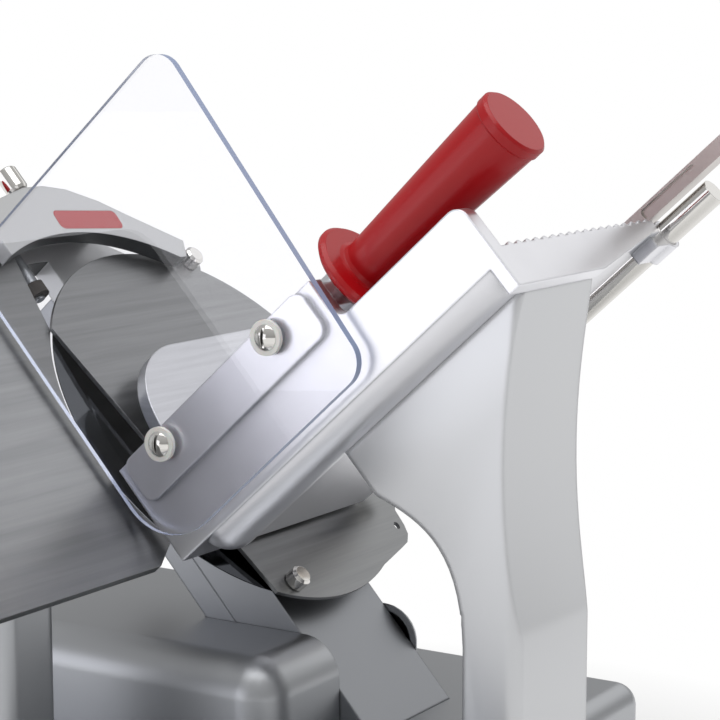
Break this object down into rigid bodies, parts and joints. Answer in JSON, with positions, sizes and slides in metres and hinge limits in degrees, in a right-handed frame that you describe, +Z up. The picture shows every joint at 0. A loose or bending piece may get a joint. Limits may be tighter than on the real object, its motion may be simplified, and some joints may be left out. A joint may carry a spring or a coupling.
{
  "type": "electric food slicer",
  "caption": "Gravity-feed food slicer with a tilted round blade, a sliding ribbed table with clear guard and red handle, a swinging food press and a sharpener hood.",
  "frame": {"origin": "on the counter, under the middle of the machine's bounding box", "axes": "+Y along the carriage's travel, away from the operator; +Z up; +X to the side the table rises"},
  "size_m": [0.4892, 0.458, 0.4635],
  "materials": {
    "cast_base": "satin",
    "zinc_steel": "plain",
    "black_rubber": "matt",
    "ground_steel": "ground",
    "cast_head": "satin",
    "motor_paint": "matt",
    "cover_steel": "brushed",
    "blade_steel": "polished",
    "chrome": "polished",
    "black_plastic": "matt",
    "sharpener_cast": "satin",
    "red_plastic": "gloss",
    "abrasive": "matt",
    "gauge_anodised": "satin",
    "white_plastic": "satin",
    "table_aluminium": "polished",
    "leg_aluminium": "satin",
    "bronze": "plain",
    "clear_guard": "clear"
  },
  "bodies": {
    "frame": {"base_housing": "cast_base", "bottom_plate": "zinc_steel", "rubber_feet": "black_rubber", "slide_rail": "ground_steel", "support_rail": "zinc_steel", "blade_head": "cast_head", "head_cover": "cast_head", "motor": "motor_paint", "motor_hood": "cast_base", "shaft_bearings": "ground_steel", "blade_cover": "cover_steel", "cover_pins": "chrome", "cover_tie_rod": "ground_steel", "tie_rod_knob": "black_plastic", "drive_belt": "black_rubber", "sharpener_body": "sharpener_cast", "sharpener_inlay": "red_plastic", "gauge_support": "cast_base", "switch_panel": "white_plastic", "cable_gland": "black_plastic"},
    "cutter": {"blade": "blade_steel", "blade_screws": "zinc_steel", "blade_shaft": "ground_steel", "blade_pulley": "cast_head"},
    "rotor": {"motor_shaft": "ground_steel", "motor_pulley": "cast_head"},
    "lock": {"lock_knob": "chrome"},
    "stone_push": {"stone_button": "red_plastic", "stone_stem": "ground_steel"},
    "stone": {"grinding_stone": "abrasive"},
    "gauge": {"gauge_plate": "gauge_anodised", "gauge_rod": "ground_steel"},
    "dial": {"thickness_knob": "red_plastic", "knob_shaft": "zinc_steel"},
    "start": {"start_button": "white_plastic"},
    "stop": {"stop_button": "red_plastic"},
    "carriage": {"food_table": "table_aluminium", "table_leg": "leg_aluminium", "slide_block": "cast_head", "slide_bushes": "bronze", "slide_pad": "white_plastic", "hand_guard": "clear_guard", "guard_washers": "white_plastic", "guard_screws": "chrome", "handle_rod": "ground_steel", "handle_grip": "red_plastic", "press_rod": "chrome"},
    "press_runner": {"press_sleeve": "bronze"},
    "press": {"press_arm": "chrome", "press_plate": "table_aluminium"}
  },
  "joints": [
    {"name": "carriage_slide", "type": "slide", "parent": "frame", "child": "carriage", "axis": [0, 1, 0], "range_m": [-0.175, 0.015]},
    {"name": "blade_spin", "type": "hinge", "parent": "frame", "child": "cutter", "pos_m": [-0.05459, 0.081, 0.245], "axis": [0.7431, 0, 0.6691], "continuous": true},
    {"name": "motor_spin", "type": "hinge", "parent": "frame", "child": "rotor", "pos_m": [0.0324, 0.081, 0.14839], "axis": [0.7431, 0, 0.6691], "continuous": true},
    {"name": "gauge_slide", "type": "slide", "parent": "frame", "child": "gauge", "axis": [-0.7431, 0, -0.6691], "range_m": [0, 0.013]},
    {"name": "thickness_turn", "type": "hinge", "parent": "frame", "child": "dial", "pos_m": [-0.12459, -0.189, 0.051], "axis": [0, -1, 0], "range_deg": [0, 300.5]},
    {"name": "press_slide", "type": "slide", "parent": "carriage", "child": "press_runner", "axis": [0.7431, 0, 0.6691], "range_m": [0, 0.11]},
    {"name": "press_swing", "type": "hinge", "parent": "press_runner", "child": "press", "pos_m": [0.04219, 0.159, 0.22718], "axis": [-0.7431, 0, -0.6691], "range_deg": [0, 95]},
    {"name": "start_press", "type": "slide", "parent": "frame", "child": "start", "axis": [0, 1, 0], "range_m": [0, 0.003], "stiffness_N_per_m": 600},
    {"name": "stop_press", "type": "slide", "parent": "frame", "child": "stop", "axis": [0, 1, 0], "range_m": [0, 0.003], "stiffness_N_per_m": 600},
    {"name": "stone_press", "type": "slide", "parent": "frame", "child": "stone_push", "axis": [0.6691, 0, -0.7431], "range_m": [0, 0.006], "stiffness_N_per_m": 800, "springref_m": -0.002},
    {"name": "stone_spin", "type": "hinge", "parent": "stone_push", "child": "stone", "pos_m": [-0.1418, 0.007, 0.32392], "axis": [-0.6691, 0, 0.7431], "continuous": true},
    {"name": "lock_pull", "type": "slide", "parent": "frame", "child": "lock", "axis": [-0.6691, 0, 0.7431], "range_m": [0, 0.008], "stiffness_N_per_m": 300}
  ],
  "couplings": [
    {"joint": "motor_spin", "follows": "blade_spin", "ratio": 2.5},
    {"joint": "thickness_turn", "follows": "gauge_slide", "rad_per_m": 402.77}
  ]
}
